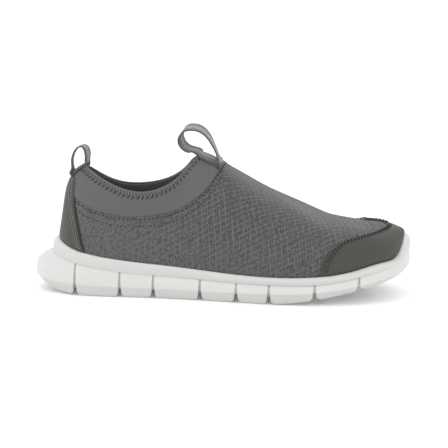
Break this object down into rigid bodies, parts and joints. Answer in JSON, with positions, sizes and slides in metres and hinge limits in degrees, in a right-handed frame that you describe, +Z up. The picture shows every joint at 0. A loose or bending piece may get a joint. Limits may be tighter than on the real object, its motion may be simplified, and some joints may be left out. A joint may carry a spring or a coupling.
{
  "type": "slip-on athletic shoe",
  "caption": "Right slip-on sports shoe with a stretch mesh upper, smooth toe cap and heel counter, webbing pull loops and a thick grooved light sole",
  "frame": {"origin": "on the floor under the middle of the shoe's length and width", "axes": "+X to the toe, +Z up, the outer side of the foot at -Y"},
  "size_m": [0.298, 0.1068, 0.1315],
  "materials": {
    "sole_foam": "matte moulded foam rubber, light grey white",
    "mesh_fabric": "matte grey knitted mesh",
    "collar_fabric": "smooth matte grey stretch fabric",
    "cap_synthetic": "smooth satin dark olive grey synthetic",
    "webbing": "ribbed grey woven webbing",
    "lining_fabric": "matte dark textile of the insole"
  },
  "bodies": {
    "root": {"sole": "sole_foam", "insole": "lining_fabric", "upper": "mesh_fabric", "collar_panel": "collar_fabric", "toe_cap": "cap_synthetic", "heel_counter": "cap_synthetic", "heel_loop": "webbing", "instep_loop": "webbing"}
  },
  "joints": []
}
